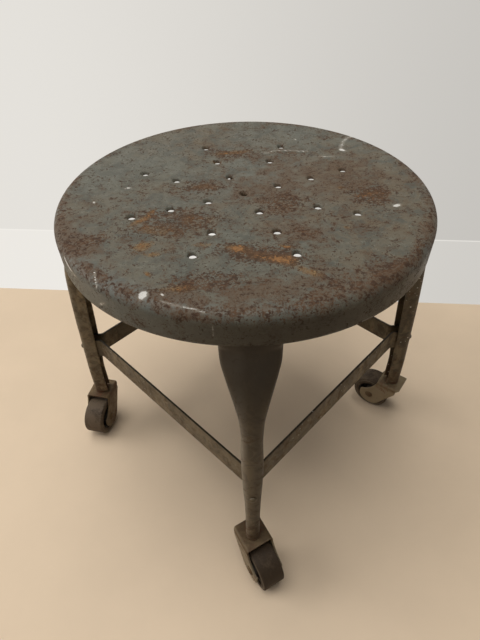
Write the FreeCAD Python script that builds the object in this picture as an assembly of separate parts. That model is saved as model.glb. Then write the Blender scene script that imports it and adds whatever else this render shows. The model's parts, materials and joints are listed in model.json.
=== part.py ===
import FreeCAD, Part
import math
import os
from FreeCAD import Vector

# Low four-legged stool with a pressed sheet-steel seat, four pressed channel legs,
# a square of strap braces and four swivel casters. Millimetres, +Z up.
# Origin: on the floor, under the centre of the seat. Legs stand at -Y, +X, +Y and -X.

# ---------------------------------------------------------------- seat pan
seat_height = 360.0          # floor to the crest of the seat's rim
seat_diameter = 360.0        # across the outside of the skirt
skirt_height = 29.0          # crest of the rim to the skirt's lower edge
seat_sheet = 1.5             # thickness of the seat's sheet
rim_radius = 9.0             # outside radius between skirt and rim
rim_land = 6.0               # flat ring on top of the rim
dish_depth = 4.0             # how far the middle lies below the rim
hole_ring_pitch = 37.1       # step from one ring of holes to the next
hole_ring_angle = 21.4       # turn of the rows of holes from +X
hole_radius = 3.4
hole_mouth_radius = 4.3      # its pressed-down edge, at the upper face
rim_facets = 4               # flats that make up the rounded rim
dish_bands = (0.0, 0.4, 0.75, 1.0)   # shares of the dish's radius where its slope steps

# ---------------------------------------------------------------- legs
leg_names = ("front", "right", "back", "left")
leg_angles = (-90.0, 0.0, 90.0, 180.0)
leg_sheet = 1.6
leg_foot_splay = 35.0        # outside of the skirt to the outside of a leg at its foot
leg_tab_width = 49.8         # the broad tab that is welded inside the skirt
leg_tab_lap = 18.0           # how far the tab goes up inside the skirt
leg_tab_depth = 8.0          # depth of the tab's turned edges
leg_foot_width = 15.0
leg_channel_depth = 19.0     # depth of the channel at the braces
leg_corner_radius = 5.2
leg_crown_widths = 1.6       # radius of the web's crown, in widths of the leg
weld_gap = 0.2               # fit-up gap of welded pieces

# Shape of a leg between skirt and foot, from the top down: share of the way down,
# share of the spread from skirt to foot, width, and depth of the channel.
leg_stations = (
    (0.030, 0.050, 49.6, 10.0),
    (0.070, 0.160, 48.4, 10.8),
    (0.115, 0.300, 42.6, 12.2),
    (0.165, 0.440, 34.8, 14.4),
    (0.220, 0.545, 27.4, 16.6),
    (0.285, 0.622, 21.2, 18.4),
    (0.370, 0.692, 18.9, leg_channel_depth),
    (0.500, 0.770, 20.3, leg_channel_depth),
    (0.600, 0.826, 19.2, leg_channel_depth),
    (0.760, 0.922, 15.8, leg_channel_depth),
    (0.860, 0.972, 14.8, 18.2),
)

# ---------------------------------------------------------------- braces and rivets
brace_height = 147.5         # floor to the middle of a brace
brace_width = 28.6
brace_thickness = 2.0
brace_side_gap = 0.3         # brace to the inside of the leg's channel
brace_bend_radius = 1.6      # tab bends, to the middle of the strap
brace_knee_radius = 7.0      # bend outside the channel, to the middle of the strap
brace_knee_drop = 6.0        # open edge of the channel to the bend outside it
lap_gap = 0.1                # fit-up gap between riveted layers
rivet_radius = 1.7
rivet_hole_gap = 0.1
rivet_head_radius = 3.5
rivet_head_height = 2.6
rivet_head_steps = ((0.65, 0.75), (1.0, 0.3))   # round of the head, as shares of height and radius
rivet_tail_radius = 2.4
rivet_tail_height = 1.4

# ---------------------------------------------------------------- casters
caster_trail_angles = (-61.6, 142.0, 123.0, -103.0)   # heading of each wheel at rest
caster_trail = 22.0          # swivel axis to wheel axis
wheel_radius = 25.0
tyre_width = 26.0
tyre_inner_radius = 18.0
tyre_corner_radius = 3.5
tyre_facets = 2              # flats that make up each rounded shoulder
core_rim_width = 21.0
core_rim_wall = 2.6
core_web_thickness = 5.0
core_hub_radius = 7.8
hub_width = 28.4
bushing_wall = 1.2
axle_radius = 3.2
axle_running_gap = 0.06
axle_head_radius = 5.4
axle_head_height = 2.2
axle_head_top_radius = 3.2
wheel_end_play = 0.3         # hub to a side plate
yoke_sheet = 2.0
yoke_bend_radius = 3.6       # outside of the yoke's bends
yoke_top = 58.0              # floor to the top of the yoke
yoke_back = 16.5             # swivel axis to the yoke's back edge
yoke_front = 15.0            # swivel axis to the edge over the wheel
yoke_corner_radius = 5.0
yoke_lobe_radius = 17.5      # rounded end of a side plate, about the axle
stem_radius = 3.95
stem_running_gap = 0.08
socket_length = 31.0         # above the leg's foot
stem_shoulder_radius = 7.5
stem_shoulder_height = 1.2
stem_head_radius = 6.2
stem_head_height = 1.8
socket_radius = 5.25
socket_collar_radius = 8.5
socket_collar_height = 1.5
socket_end_play = 0.3        # stem's shoulder to the socket's collar
socket_web_gap = 1.2         # socket to the inside of the leg's web
stem_peen_radius = 4.8       # head that is peened over the top of the socket
stem_peen_top_radius = 3.4
stem_peen_height = 1.2
stem_end_play = 0.3          # peened head to the socket's top
joint_gap = 0.05             # press and slip fits inside one moving piece

# ---------------------------------------------------------------- worked-out places
seat_radius = seat_diameter / 2
skirt_inner_radius = seat_radius - seat_sheet
skirt_bottom = seat_height - skirt_height
tab_reach = skirt_inner_radius - weld_gap
shoulder_top = yoke_top + stem_shoulder_height
collar_bottom = shoulder_top + socket_end_play
foot_height = collar_bottom + socket_collar_height
leg_foot_reach = seat_radius + leg_foot_splay
swivel_radius = leg_foot_reach - leg_sheet - socket_web_gap - socket_radius
socket_top = foot_height + socket_length
socket_bore = stem_radius + stem_running_gap
brace_top = brace_height + brace_width / 2
brace_bottom = brace_height - brace_width / 2
axle_bore = axle_radius + axle_running_gap
bushing_radius = axle_bore + bushing_wall
yoke_inner_width = hub_width + 2 * wheel_end_play
yoke_width = yoke_inner_width + 2 * yoke_sheet

os.makedirs("parts", exist_ok=True)


# ---------------------------------------------------------------- helpers
def polar(radius, angle, z=0.0):
    """Point at a radius and an angle in degrees about the Z axis."""
    turn = math.radians(angle)
    return Vector(radius * math.cos(turn), radius * math.sin(turn), z)


def line(start, end):
    """Straight edge between two points."""
    return Part.LineSegment(start, end).toShape()


def arc(start, middle, end):
    """Circular edge through three points."""
    return Part.Arc(start, middle, end).toShape()


def chain(points):
    """Closed wire of straight edges through the points."""
    return Part.makePolygon(list(points) + [points[0]])


def spun(outline, axis=Vector(0, 0, 1)):
    """Solid of revolution about a line through the origin, from a closed wire."""
    return Part.Face(outline).revolve(Vector(0, 0, 0), axis, 360)


def profile_z(pairs):
    """Closed wire in the XZ plane from (radius, height) pairs, to spin about Z."""
    return chain([Vector(r, 0, z) for r, z in pairs])


def profile_y(pairs):
    """Closed wire in the XY plane from (radius, side) pairs, to spin about Y."""
    return chain([Vector(r, side, 0) for r, side in pairs])


def turned(shape, angle):
    """Copy of a shape turned about the Z axis."""
    copy = shape.copy()
    copy.rotate(Vector(0, 0, 0), Vector(0, 0, 1), angle)
    return copy


def save(shape, name):
    """Write one node's file."""
    shape.exportStep("parts/" + name + ".step")


# ---------------------------------------------------------------- seat pan
def dish_height(radius):
    """Height of the seat's upper face inside the rim, on a shallow sphere."""
    edge = seat_radius - rim_radius - rim_land
    return seat_height - dish_depth * (1 - (radius / edge) ** 2)


def quarter(radius, steps):
    """Points of a quarter circle from its crest to its side, as (out, up) offsets."""
    turns = [math.pi / 2 * step / steps for step in range(steps + 1)]
    return [(radius * math.sin(turn), radius * math.cos(turn)) for turn in turns]


def make_seat():
    """Inverted pan spun from one sheet, with a dished top and a deep skirt."""
    land_outer = seat_radius - rim_radius
    land_inner = land_outer - rim_land
    rim_centre = seat_height - rim_radius
    dish_radii = [land_inner * share for share in dish_bands]
    upper = [(r, dish_height(r)) for r in dish_radii]
    upper += [(land_outer + out, rim_centre + up) for out, up in quarter(rim_radius, rim_facets)]
    upper += [(seat_radius, skirt_bottom)]
    under = [(r, dish_height(r) - seat_sheet) for r in dish_radii]
    under += [(land_outer + out, rim_centre + up)
              for out, up in quarter(rim_radius - seat_sheet, rim_facets)]
    under += [(skirt_inner_radius, skirt_bottom)]
    pan = spun(profile_z(upper + under[::-1]))
    return pan.cut([hole_cut(*place) for place in hole_places()])


def hole_places():
    """Centre hole, long rows of three holes and short rows of two between them."""
    places = [(0.0, 0.0)]
    for row in range(8):
        first_ring = 1 if row % 2 == 0 else 2
        for ring in range(first_ring, 4):
            places.append((ring * hole_ring_pitch, hole_ring_angle + row * 45.0))
    return places


def hole_cut(radius, angle):
    """Hole whose edge is pressed down round its mouth, so that it narrows with depth."""
    flare = (hole_mouth_radius - hole_radius) / seat_sheet
    cone = Part.makeCone(hole_radius - flare * seat_sheet, hole_mouth_radius + flare * seat_sheet,
                         3 * seat_sheet)
    cone.translate(polar(radius, angle, dish_height(radius) - 2 * seat_sheet))
    return cone


# ---------------------------------------------------------------- legs
def channel_section(z, reach, width, depth, web_radius):
    """Level section of a leg on the +X side: an open channel with a crowned web."""
    corner = leg_corner_radius
    half = width / 2
    web_centre = reach - web_radius
    corner_side = half - corner
    corner_reach = web_centre + math.sqrt((web_radius - corner) ** 2 - corner_side ** 2)
    lean = math.atan2(corner_side, corner_reach - web_centre)
    lip = reach - depth

    def wall(inset):
        """Points along one face of the sheet, from the -Y lip to the +Y lip."""
        web = web_radius - inset
        bend = corner - inset
        side = corner_side + bend
        bend_middle = (lean + math.pi / 2) / 2
        points = [
            (lip, side),
            (corner_reach, side),
            (corner_reach + bend * math.cos(bend_middle), corner_side + bend * math.sin(bend_middle)),
            (web_centre + web * math.cos(lean), web * math.sin(lean)),
        ]
        below = [Vector(x, -y, z) for x, y in points]
        above = [Vector(x, y, z) for x, y in reversed(points)]
        return below, Vector(reach - inset, 0, z), above

    def edges(below, middle, above):
        return [line(below[0], below[1]), arc(below[1], below[2], below[3]),
                arc(below[3], middle, above[0]), arc(above[0], above[1], above[2]),
                line(above[2], above[3])]

    outer_below, outer_middle, outer_above = wall(0)
    inner_below, inner_middle, inner_above = wall(leg_sheet)
    outer = edges(outer_below, outer_middle, outer_above)
    inner = edges(inner_below, inner_middle, inner_above)
    tips = [line(outer_above[3], inner_above[3]), line(inner_below[0], outer_below[0])]
    return Part.Wire(outer + [tips[0]] + inner[::-1] + [tips[1]])


def make_leg():
    """Pressed leg on the +X side: welding tab, shield-shaped top, waist, knee and foot."""
    visible = skirt_bottom - foot_height
    spread = leg_foot_reach - tab_reach
    sections = []
    for rise in (leg_tab_lap, 0.0):
        sections.append(channel_section(skirt_bottom + rise, tab_reach, leg_tab_width,
                                        leg_tab_depth, tab_reach))
    for down, out, width, depth in leg_stations:
        sections.append(channel_section(skirt_bottom - down * visible, tab_reach + out * spread,
                                        width, depth, leg_crown_widths * width))
    sections.append(channel_section(foot_height, leg_foot_reach, leg_foot_width,
                                    leg_stations[-1][3], leg_crown_widths * leg_foot_width))
    return Part.makeLoft(sections[::-1], True, True)


def solid_runs(shape, start, end):
    """Where a line runs through a solid: sorted distances from its start."""
    inside = line(start, end).common(shape)
    return sorted((point.Point - start).Length for point in inside.Vertexes)


class LegFit:
    """What the braces, rivets and sockets need to know of a leg's shape."""

    def __init__(self, leg):
        self.leg = leg
        self.half_inside = min(self.inner_half(z) for z in (brace_top, brace_bottom))
        self.tab_half = self.half_inside - brace_side_gap
        self.top = self.web_inside(brace_top)
        self.bottom = self.web_inside(brace_bottom)
        middle = self.web_inside(brace_height)
        bow = max(0.0, (self.top + self.bottom) / 2 - middle)
        self.top -= bow + lap_gap
        self.bottom -= bow + lap_gap
        self.lip_top = self.lip(brace_top)
        self.lip_bottom = self.lip(brace_bottom)
        self.web_outside = self.along_reach(0, brace_height)[-1]
        self.slope = (self.bottom - self.top) / brace_width

    def along_reach(self, side, z):
        """Where a level line that runs outward, this far to one side, meets the leg."""
        start, end = leg_foot_reach / 2, leg_foot_reach + leg_channel_depth
        return [start + run for run in
                solid_runs(self.leg, Vector(start, side, z), Vector(end, side, z))]

    def web_inside(self, z):
        """Reach of the web's inner face at the edge of a brace's tab."""
        return self.along_reach(self.tab_half, z)[0]

    def inner_half(self, z):
        """Half of the channel's inside width, halfway down its depth."""
        reach = self.leg.BoundBox.XMax - leg_channel_depth * 3 / 4
        return solid_runs(self.leg, Vector(reach, 0, z), Vector(reach, leg_tab_width, z))[0]

    def lip(self, z):
        """Reach of the channel's open edge."""
        return self.along_reach(self.inner_half(z) + leg_sheet / 2, z)[0]


# ---------------------------------------------------------------- braces
def ribbon(points, radii, thickness, z):
    """Closed level outline of a strap that follows a path with rounded corners."""
    half = thickness / 2
    left, right = [], []
    count = len(points)
    cursor_left = cursor_right = None
    for i in range(count):
        here = Vector(points[i][0], points[i][1], z)
        if i in (0, count - 1):
            other = Vector(*points[1 if i == 0 else count - 2], z)
            along = (other - here if i == 0 else here - other).normalize()
            side = Vector(-along.y, along.x, 0) * half
            ends = (here + side, here - side)
            if i == 0:
                cursor_left, cursor_right = ends
                start_cap = line(ends[1], ends[0])
            else:
                left.append(line(cursor_left, ends[0]))
                right.append(line(cursor_right, ends[1]))
                end_cap = line(ends[0], ends[1])
            continue
        came = (here - Vector(*points[i - 1], z)).normalize()
        goes = (Vector(*points[i + 1], z) - here).normalize()
        turn = came.x * goes.y - came.y * goes.x
        angle = math.atan2(turn, came.dot(goes))
        reach = radii[i - 1] * math.tan(abs(angle) / 2)
        hand = 1 if turn > 0 else -1
        centre = here - came * reach + Vector(-came.y, came.x, 0) * (hand * radii[i - 1])
        for edges, sign in ((left, 1), (right, -1)):
            radius = radii[i - 1] - hand * sign * half
            spoke_in = Vector(came.y, -came.x, 0) * (hand * radius)
            spoke_out = Vector(goes.y, -goes.x, 0) * (hand * radius)
            spoke_middle = (spoke_in + spoke_out).normalize() * radius
            start = cursor_left if sign > 0 else cursor_right
            edges.append(line(start, centre + spoke_in))
            edges.append(arc(centre + spoke_in, centre + spoke_middle, centre + spoke_out))
            if sign > 0:
                cursor_left = centre + spoke_out
            else:
                cursor_right = centre + spoke_out
    return Part.Wire(left + [end_cap] + right[::-1] + [start_cap])


def brace_outline(fit, web, lip, z):
    """Level outline of the brace from the +X leg to the +Y leg.

    Its first tab lies against the web of the +X leg. Its last tab lies on the first tab
    of the next brace. Between tab and knee the strap runs out along the channel's side.
    """
    side = fit.tab_half - brace_thickness / 2
    outer_tab = web - brace_thickness / 2
    inner_tab = outer_tab - brace_thickness - lap_gap
    knee = lip - brace_knee_drop
    tab_end = side - brace_bend_radius - lap_gap
    points = ((outer_tab, -fit.tab_half), (outer_tab, side), (knee, side),
              (side, knee), (side, inner_tab), (-tab_end, inner_tab))
    radii = (brace_bend_radius, brace_knee_radius, brace_knee_radius, brace_bend_radius)
    return ribbon(points, radii, brace_thickness, z)


def make_brace(fit):
    """Strap on edge between two legs; it leans with the webs that it lies against."""
    top = brace_outline(fit, fit.top, fit.lip_top, brace_top)
    bottom = brace_outline(fit, fit.bottom, fit.lip_bottom, brace_bottom)
    return Part.makeLoft([bottom, top], True, True)


def rivet_placed(shape, fit):
    """Put a piece made along +X at the origin on the rivet's axis in the +X leg."""
    tilt = math.degrees(math.atan(fit.slope))
    copy = shape.copy()
    copy.rotate(Vector(0, 0, 0), Vector(0, 1, 0), -tilt)
    copy.translate(Vector(fit.web_outside + 2 * lap_gap, 0, brace_height))
    return copy


def rivet_hole(fit):
    """Bore for the rivet through the leg's web and both tabs."""
    back = -leg_channel_depth
    bore = Part.makeCylinder(rivet_radius + rivet_hole_gap, -2 * back,
                             Vector(back, 0, 0), Vector(1, 0, 0))
    return rivet_placed(bore, fit)


def make_rivet(fit):
    """Round-head rivet through web and both tabs, its small tail closed inside."""
    middle_web = (fit.top + fit.bottom) / 2
    grip = fit.web_outside - middle_web + 2 * brace_thickness + 4 * lap_gap
    tail = -grip - rivet_tail_height
    pairs = [(tail, 0), (tail, rivet_tail_radius), (-grip, rivet_tail_radius),
             (-grip, rivet_radius), (0, rivet_radius), (0, rivet_head_radius)]
    pairs += [(rivet_head_height * up, rivet_head_radius * out) for up, out in rivet_head_steps]
    pairs += [(rivet_head_height, 0)]
    outline = chain([Vector(along, radius, 0) for along, radius in pairs])
    return rivet_placed(spun(outline, Vector(1, 0, 0)), fit)


# ---------------------------------------------------------------- stem and socket
def make_socket():
    """Tube that is welded into a leg's foot, with a collar under the leg."""
    return spun(profile_z((
        (socket_bore, collar_bottom), (socket_collar_radius, collar_bottom),
        (socket_collar_radius, foot_height), (socket_radius, foot_height),
        (socket_radius, socket_top), (socket_bore, socket_top))))


def make_stem():
    """Swivel pin: head under the yoke, shoulder on it, shank and peened-over top."""
    plate_under = yoke_top - yoke_sheet
    head_low = plate_under - stem_head_height
    peen_low = socket_top + stem_end_play
    peen_top = peen_low + stem_peen_height
    return spun(profile_z((
        (0, head_low), (stem_head_radius, head_low), (stem_head_radius, plate_under),
        (stem_radius, plate_under), (stem_radius, yoke_top), (stem_shoulder_radius, yoke_top),
        (stem_shoulder_radius, shoulder_top), (stem_radius, shoulder_top),
        (stem_radius, peen_low), (stem_peen_radius, peen_low),
        (stem_peen_top_radius, peen_top), (0, peen_top))))


# ---------------------------------------------------------------- yoke and axle
def tangent_point(outside, centre, radius, hand):
    """Where a line from a point touches a circle in the XZ plane."""
    away = outside - centre
    angle = math.atan2(away.z, away.x) + hand * math.acos(radius / away.Length)
    return centre + Vector(math.cos(angle), 0, math.sin(angle)) * radius


def make_yoke():
    """Folded yoke: flat top plate and two side plates that taper to the axle."""
    half = yoke_width / 2
    inner = half - yoke_sheet
    bend = yoke_bend_radius
    inside_bend = bend - yoke_sheet
    knuckle = math.sqrt(0.5)
    low = wheel_radius - yoke_lobe_radius
    under = yoke_top - yoke_sheet

    def at(side, z):
        return Vector(-yoke_back, side, z)

    def corner(side, radius, hand):
        """Rounded corner between a side plate and the top plate, as seen from the back."""
        centre = side - hand * radius
        top = yoke_top if abs(side) == half else under
        middle = at(centre + hand * radius * knuckle, top - radius + radius * knuckle)
        return at(side, top - radius), middle, at(centre, top)

    left, right = corner(-half, bend, -1), corner(half, bend, 1)
    left_in, right_in = corner(-inner, inside_bend, -1), corner(inner, inside_bend, 1)
    fold = Part.Wire([
        line(at(-half, low), left[0]), arc(*left), line(left[2], right[2]), arc(*right[::-1]),
        line(right[0], at(half, low)), line(at(half, low), at(inner, low)),
        line(at(inner, low), right_in[0]), arc(*right_in), line(right_in[2], left_in[2]),
        arc(*left_in[::-1]), line(left_in[0], at(-inner, low)), line(at(-inner, low), at(-half, low))])
    reach = yoke_back + caster_trail + yoke_lobe_radius
    channel = Part.Face(fold).extrude(Vector(reach, 0, 0))

    axle = Vector(caster_trail, 0, wheel_radius)
    top_back = Vector(-yoke_back, 0, under)
    top_front = Vector(yoke_front, 0, under)
    touch_back = tangent_point(top_back, axle, yoke_lobe_radius, 1)
    touch_front = tangent_point(top_front, axle, yoke_lobe_radius, -1)
    lobe_low = axle + (touch_back + touch_front - axle * 2).normalize() * -yoke_lobe_radius
    if lobe_low.z > axle.z:
        lobe_low = axle - (lobe_low - axle)
    lift = Vector(0, 0, yoke_sheet)
    side = Part.Wire([
        line(top_back + lift, top_front + lift), line(top_front + lift, top_front),
        line(top_front, touch_front), arc(touch_front, lobe_low, touch_back),
        line(touch_back, top_back), line(top_back, top_back + lift)])
    lobes = Part.Face(side).extrude(Vector(0, yoke_width, 0))
    lobes.translate(Vector(0, -half, 0))

    plan = Part.makeBox(reach, yoke_width, yoke_top, Vector(-yoke_back, -half, 0))
    upright = [edge for edge in plan.Edges
               if abs(edge.Vertexes[0].Z - edge.Vertexes[1].Z) > 1 and edge.Vertexes[0].X < 0]
    plan = plan.makeFillet(yoke_corner_radius, upright)
    yoke = channel.common(lobes).common(plan)
    stem_hole = Part.makeCylinder(stem_radius + joint_gap, 2 * yoke_sheet + 2,
                                  Vector(0, 0, under - 1))
    axle_hole = Part.makeCylinder(axle_radius + joint_gap, yoke_width + 2,
                                  Vector(caster_trail, -half - 1, wheel_radius), Vector(0, 1, 0))
    return yoke.cut([stem_hole, axle_hole])


def at_axle(shape):
    """Move a piece made about the Y axis at the origin to the wheel's axle."""
    copy = shape.copy()
    copy.translate(Vector(caster_trail, 0, wheel_radius))
    return copy


def make_axle():
    """Axle rivet through yoke and wheel, with a low cone head on each side."""
    half = yoke_width / 2
    tip = half + axle_head_height
    small = axle_head_top_radius
    return at_axle(spun(profile_y((
        (0, -tip), (small, -tip), (axle_head_radius, -half), (axle_radius, -half),
        (axle_radius, half), (axle_head_radius, half), (small, tip), (0, tip))), Vector(0, 1, 0)))


# ---------------------------------------------------------------- wheel
def make_tyre():
    """Solid tread with rounded shoulders."""
    half = tyre_width / 2
    inset = wheel_radius - tyre_corner_radius
    side = half - tyre_corner_radius
    shoulder = [(inset + up, side + out) for out, up in quarter(tyre_corner_radius, tyre_facets)]
    upper = shoulder + [(tyre_inner_radius, half)]
    lower = [(radius, -across) for radius, across in reversed(upper)]
    return at_axle(spun(profile_y(lower + upper), Vector(0, 1, 0)))


def make_core():
    """Wheel centre: rim inside the tyre, thin web and long hub."""
    rim_outer = tyre_inner_radius - joint_gap
    rim_inner = rim_outer - core_rim_wall
    rim_half = core_rim_width / 2
    web_half = core_web_thickness / 2
    hub_half = hub_width / 2
    bore = bushing_radius + joint_gap
    upper = [(bore, hub_half), (core_hub_radius, hub_half), (core_hub_radius, web_half),
             (rim_inner, web_half), (rim_inner, rim_half), (rim_outer, rim_half)]
    lower = [(radius, -side) for radius, side in reversed(upper)]
    return at_axle(spun(profile_y(upper + lower), Vector(0, 1, 0)))


def make_bushing():
    """Steel tube that turns on the axle."""
    half = hub_width / 2
    return at_axle(spun(profile_y(((axle_bore, -half), (bushing_radius, -half),
                                   (bushing_radius, half), (axle_bore, half))), Vector(0, 1, 0)))


# ---------------------------------------------------------------- build
def main():
    save(make_seat(), "seat_pan")

    plain_leg = make_leg()
    fit = LegFit(plain_leg)
    hole = rivet_hole(fit)
    leg = plain_leg.cut(hole)
    next_hole = turned(hole, 90)
    brace = make_brace(fit).cut([hole, next_hole])
    rivet = make_rivet(fit)
    socket = make_socket()
    socket.translate(Vector(swivel_radius, 0, 0))

    for index, (name, angle) in enumerate(zip(leg_names, leg_angles)):
        following = leg_names[(index + 1) % len(leg_names)]
        save(turned(leg, angle), "leg_" + name)
        save(turned(brace, angle), "brace_" + name + "_" + following)
        save(turned(socket, angle), "socket_" + name)
    save(Part.makeCompound([turned(rivet, angle) for angle in leg_angles]), "brace_rivets")

    pieces = {
        "yoke": make_yoke(),
        "stem": make_stem(),
        "axle": make_axle(),
        "tyre": make_tyre(),
        "core": make_core(),
        "bushing": make_bushing(),
    }
    for name, angle, heading in zip(leg_names, leg_angles, caster_trail_angles):
        for piece, shape in pieces.items():
            placed = turned(shape, heading)
            placed.translate(polar(swivel_radius, angle))
            save(placed, piece + "_" + name)


main()
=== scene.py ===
import json
import math

import bpy
import numpy as np
from mathutils import Matrix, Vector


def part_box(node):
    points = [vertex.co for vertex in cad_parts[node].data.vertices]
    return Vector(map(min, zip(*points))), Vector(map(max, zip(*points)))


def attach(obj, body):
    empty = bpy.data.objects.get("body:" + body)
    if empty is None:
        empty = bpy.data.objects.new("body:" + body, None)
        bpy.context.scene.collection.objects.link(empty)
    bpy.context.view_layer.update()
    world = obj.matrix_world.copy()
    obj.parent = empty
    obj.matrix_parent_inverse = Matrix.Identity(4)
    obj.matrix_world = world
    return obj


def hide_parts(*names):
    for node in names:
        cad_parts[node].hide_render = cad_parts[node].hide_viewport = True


bl_info = {
    "name": "Clinic Stool Finish",
    "version": (1, 0, 0),
    "blender": (4, 5, 0),
    "location": "View3D > Sidebar > Stool",
    "description": "Pressed-steel stool on casters: smooth sheet-metal surfaces and a worn "
                   "enamel finish",
    "category": "Add Mesh",
}

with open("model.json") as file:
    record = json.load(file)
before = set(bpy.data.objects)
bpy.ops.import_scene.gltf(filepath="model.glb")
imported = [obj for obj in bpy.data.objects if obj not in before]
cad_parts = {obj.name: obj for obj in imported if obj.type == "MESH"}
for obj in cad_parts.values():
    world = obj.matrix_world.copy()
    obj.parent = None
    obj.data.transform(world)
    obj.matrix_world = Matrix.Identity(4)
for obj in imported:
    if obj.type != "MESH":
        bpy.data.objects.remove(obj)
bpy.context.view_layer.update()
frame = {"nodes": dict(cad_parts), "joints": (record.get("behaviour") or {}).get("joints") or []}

LEG_NAMES = ("front", "right", "back", "left")
LEG_ANGLES = (-90.0, 0.0, 90.0, 180.0)
MM = 0.001


# ---------------------------------------------------------------- sizes read from the frame
def node_box(name):
    """Lowest and highest corner of a CAD node, as numpy arrays in metres."""
    low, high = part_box(name)
    return np.array(low), np.array(high)


seat_low, seat_high = node_box("seat_pan")
seat_radius = (seat_high[0] - seat_low[0]) / 2
seat_top = seat_high[2]
skirt_bottom = seat_low[2]
leg_low, leg_high = node_box("leg_right")
joint_of = {joint["name"]: joint for joint in frame["joints"]}


# ---------------------------------------------------------------- settings shown in the sidebar
def length(name, about, default):
    """A length property in metres."""
    return bpy.props.FloatProperty(name=name, description=about, default=default, min=0.0,
                                   unit="LENGTH", precision=4)


def colour(name, about, default):
    """A colour property."""
    return bpy.props.FloatVectorProperty(name=name, description=about, default=default, size=3,
                                         min=0.0, max=1.0, subtype="COLOR")


class StoolSizes(bpy.types.PropertyGroup):
    """Sizes of the surfaces that follow the CAD model."""

    rim_radius: length("Rim radius", "Outside radius between the skirt and the rim", 0.009)
    rim_land: length("Rim land", "Width of the flat ring on top of the rim", 0.006)
    dish_depth: length("Dish depth", "How far the middle of the seat lies below its rim", 0.004)
    seat_sheet: length("Seat sheet", "Thickness of the seat's sheet", 0.0015)
    ring_pitch: length("Hole ring pitch", "Step from one ring of holes to the next", 0.0371)
    ring_turn: bpy.props.FloatProperty(name="Hole rows", description="Turn of the rows of holes",
                                       default=math.radians(21.4), subtype="ANGLE")
    hole_radius: length("Hole radius", "Radius of a hole at its narrowest", 0.0032)
    hole_lip: length("Hole lip", "Radius at which the seat starts to dip into a hole", 0.0056)
    hole_drop: length("Hole drop", "How far the edge of a hole is pressed down", 0.0032)
    leg_sheet: length("Leg sheet", "Thickness of the legs' sheet", 0.0016)
    rivet_radius: length("Rivet head radius", "Radius of a brace rivet's round head", 0.0035)
    rivet_height: length("Rivet head height", "Height of a brace rivet's round head", 0.0026)
    wheel_radius: length("Wheel radius", "Radius of a wheel's tread", 0.025)
    tyre_width: length("Tyre width", "Width of a wheel's tread", 0.026)
    yoke_sheet: length("Yoke sheet", "Thickness of the caster yokes' sheet", 0.002)


class StoolColours(bpy.types.PropertyGroup):
    """Colours of the finishes."""

    enamel: colour("Enamel", "Grey-green enamel of the seat", (0.126, 0.126, 0.099))
    enamel_warm: colour("Warm enamel", "Enamel where it has yellowed", (0.128, 0.101, 0.064))
    stain: colour("Stain", "Brown film of old rust on the enamel", (0.102, 0.067, 0.039))
    rust: colour("Rust", "Dark rust in pits", (0.048, 0.019, 0.008))
    bloom: colour("Rust bloom", "Bright rust", (0.235, 0.130, 0.050))
    frame_enamel: colour("Frame enamel", "Darker enamel of legs and braces", (0.104, 0.076, 0.041))
    caster_steel: colour("Caster steel", "Dull steel of the yokes", (0.118, 0.077, 0.036))
    rubber: colour("Rubber", "Hard rubber of the wheels", (0.034, 0.021, 0.011))
    floor: colour("Floor", "Pale floor", (0.76, 0.60, 0.43))
    wall: colour("Wall", "Pale wall", (0.78, 0.755, 0.71))


def sizes():
    return bpy.context.scene.stool_sizes


def colours():
    return bpy.context.scene.stool_colours


# ---------------------------------------------------------------- surfaces
def grid_faces(rows, columns, wrap_rows=False, wrap_columns=False):
    """Quads of a grid of rows x columns points, row by row, as an array of indices.

    Each quad joins a point with the next one in its row and the same two of the next row;
    a wrapped direction joins the last line to the first.
    """
    last_row = rows if wrap_rows else rows - 1
    last_column = columns if wrap_columns else columns - 1
    i, j = np.meshgrid(np.arange(last_row), np.arange(last_column), indexing="ij")
    ni, nj = (i + 1) % rows, (j + 1) % columns
    quads = np.stack([i * columns + j, i * columns + nj, ni * columns + nj, ni * columns + j], -1)
    return quads.reshape(-1, 4)


def mesh_object(name, points, faces, smooth_angle=40.0, attributes=None):
    """Mesh object at the origin from points in metres and lists or arrays of face corners."""
    mesh = bpy.data.meshes.new(name)
    corners = faces.tolist() if isinstance(faces, np.ndarray) else faces
    mesh.from_pydata(np.asarray(points, float).reshape(-1, 3).tolist(), [], corners)
    for key, values in (attributes or {}).items():
        layer = mesh.attributes.new(key, "FLOAT", "POINT")
        layer.data.foreach_set("value", np.asarray(values, np.float32).ravel())
    mesh.validate()
    mesh.shade_smooth()
    mesh.set_sharp_from_angle(angle=math.radians(smooth_angle))
    piece = bpy.data.objects.new(name, mesh)
    bpy.context.scene.collection.objects.link(piece)
    return piece


def turned(points, degrees):
    """Points turned about the Z axis by an angle in degrees."""
    c, s = math.cos(math.radians(degrees)), math.sin(math.radians(degrees))
    turn = np.array([[c, s, 0.0], [-s, c, 0.0], [0.0, 0.0, 1.0]])
    return np.asarray(points) @ turn


def revolved(profile, segments, axis):
    """Points and quads of a closed surface of revolution about the X or the Y axis.

    A profile of (radius, place along the axis) pairs, from one pole to the other or round
    a closed loop, is carried round the axis in equal steps.
    """
    profile = np.asarray(profile, float)
    t = np.linspace(0.0, 2 * math.pi, segments, endpoint=False)
    radius, along = profile[:, 0][:, None], profile[:, 1][:, None] + 0 * t
    across, up = radius * np.cos(t), radius * np.sin(t)
    around = np.stack((along, across, up) if axis == "x" else (across, along, -up), -1)
    closed = bool(np.allclose(profile[0], profile[-1]))
    if closed:
        around = around[:-1]
    return around.reshape(-1, 3), grid_faces(len(around), segments, closed, True)


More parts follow.
